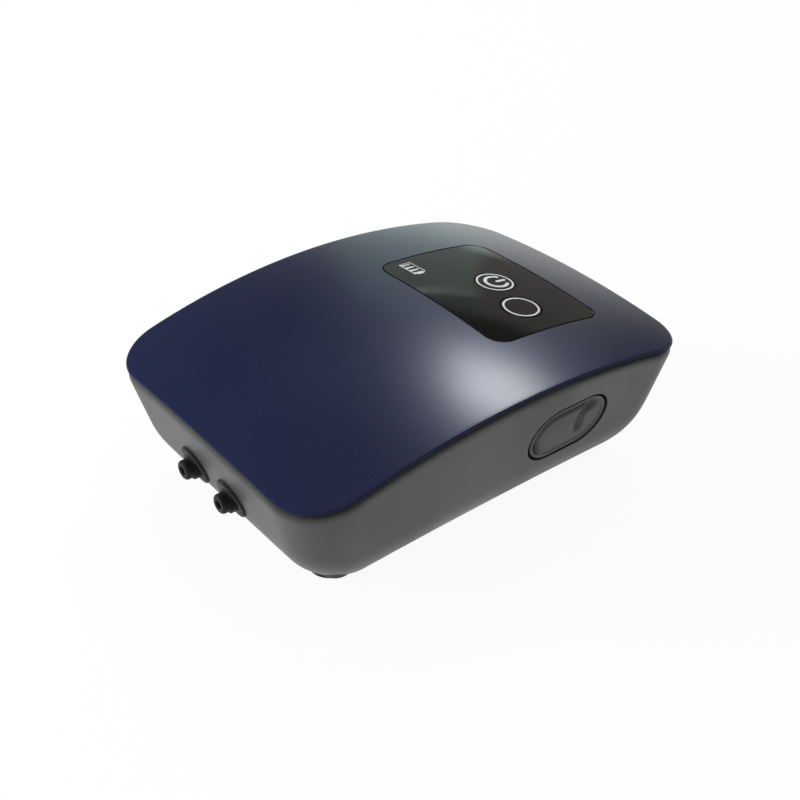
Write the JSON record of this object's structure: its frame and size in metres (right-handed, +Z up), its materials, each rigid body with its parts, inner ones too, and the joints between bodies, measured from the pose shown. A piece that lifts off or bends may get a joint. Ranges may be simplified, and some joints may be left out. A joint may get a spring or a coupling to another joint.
{
  "type": "air pump",
  "caption": "Flat rechargeable air pump for aquariums and ponds: drafted tub, crowned cover, flush key panel, hinged charging port cover and hose outlets on one end.",
  "frame": {"origin": "on the floor under the middle of the housing", "axes": "+X from the outlet end to the far end, charging port on the -Y side, +Z up"},
  "size_m": [0.1263, 0.0942, 0.0467],
  "materials": {
    "tub_grey": "moulded satin",
    "cover_blue": "fine-grained satin",
    "panel_black": "polished",
    "light_white": "translucent satin",
    "key_black": "polished",
    "outlet_black": "moulded satin",
    "part_black": "moulded matte",
    "part_white": "moulded satin",
    "board_green": "coated board",
    "led_yellow": "polished",
    "steel": "zinc-plated",
    "core_steel": "stamped laminations",
    "copper_wire": "enamelled",
    "magnet_grey": "ground",
    "black_rubber": "matte",
    "clear_silicone": "translucent",
    "cell_sleeve": "shrink sleeve",
    "wire_red": "satin insulation",
    "wire_black": "satin insulation",
    "felt": "felt"
  },
  "bodies": {
    "housing": {"base_housing": "tub_grey", "top_cover": "cover_blue", "panel_lens": "panel_black", "level_bars": "light_white", "control_board": "board_green", "key_switches": "part_black", "level_leds": "led_yellow", "board_parts": "part_black", "board_screws": "steel", "port_block": "part_black", "charge_socket": "steel", "charge_board": "board_green", "outlet_1": "outlet_black", "outlet_2": "outlet_black", "hose_1": "clear_silicone", "hose_2": "clear_silicone", "pump_frame": "part_white", "pump_isolators": "black_rubber", "coil_core": "core_steel", "coil_bobbin": "part_white", "coil_winding": "copper_wire", "core_strap": "steel", "pivot_bridge": "part_white", "diaphragm_1": "black_rubber", "diaphragm_2": "black_rubber", "chamber_1": "part_white", "chamber_2": "part_white", "chamber_cover_1": "part_white", "chamber_cover_2": "part_white", "valve_flaps": "black_rubber", "battery_cells": "cell_sleeve", "battery_cradle": "part_white", "battery_tabs": "steel", "battery_leads": "wire_red", "coil_leads": "wire_black", "charge_leads": "wire_red", "intake_filter": "felt", "rubber_feet": "black_rubber", "housing_screws": "steel", "pump_screws": "steel"},
    "power_key": {"power_key": "key_black", "power_plunger": "part_white"},
    "pulse_key": {"pulse_key": "key_black", "pulse_plunger": "part_white"},
    "port_cover": {"port_cover": "tub_grey"},
    "arm_1": {"arm_1": "part_white", "arm_bush_1": "black_rubber", "magnet_1": "magnet_grey", "clamp_1": "steel"},
    "arm_2": {"arm_2": "part_white", "arm_bush_2": "black_rubber", "magnet_2": "magnet_grey", "clamp_2": "steel"}
  },
  "joints": [
    {"name": "power_press", "type": "slide", "parent": "housing", "child": "power_key", "axis": [-0.1363, 0, -0.9907], "range_m": [0, 0.0004], "stiffness_N_per_m": 2000, "springref_m": -0.0003},
    {"name": "pulse_press", "type": "slide", "parent": "housing", "child": "pulse_key", "axis": [-0.1363, 0, -0.9907], "range_m": [0, 0.0004], "stiffness_N_per_m": 2000, "springref_m": -0.0003},
    {"name": "cover_hinge", "type": "hinge", "parent": "housing", "child": "port_cover", "pos_m": [0.00655, -0.04307, 0.025], "axis": [0, 0.225, -0.9744], "range_deg": [0, 100]},
    {"name": "arm_1_swing", "type": "hinge", "parent": "housing", "child": "arm_1", "pos_m": [-0.043, 0.006, 0.0175], "axis": [0, 0, 1], "range_deg": [-2.5, 2.5], "stiffness_Nm_per_rad": 0.25, "deforming": ["diaphragm_1"]},
    {"name": "arm_2_swing", "type": "hinge", "parent": "housing", "child": "arm_2", "pos_m": [-0.043, -0.006, 0.0175], "axis": [0, 0, 1], "range_deg": [-2.5, 2.5], "stiffness_Nm_per_rad": 0.25, "deforming": ["diaphragm_2"]}
  ],
  "couplings": [
    {"joint": "arm_2_swing", "follows": "arm_1_swing", "ratio": -1}
  ]
}
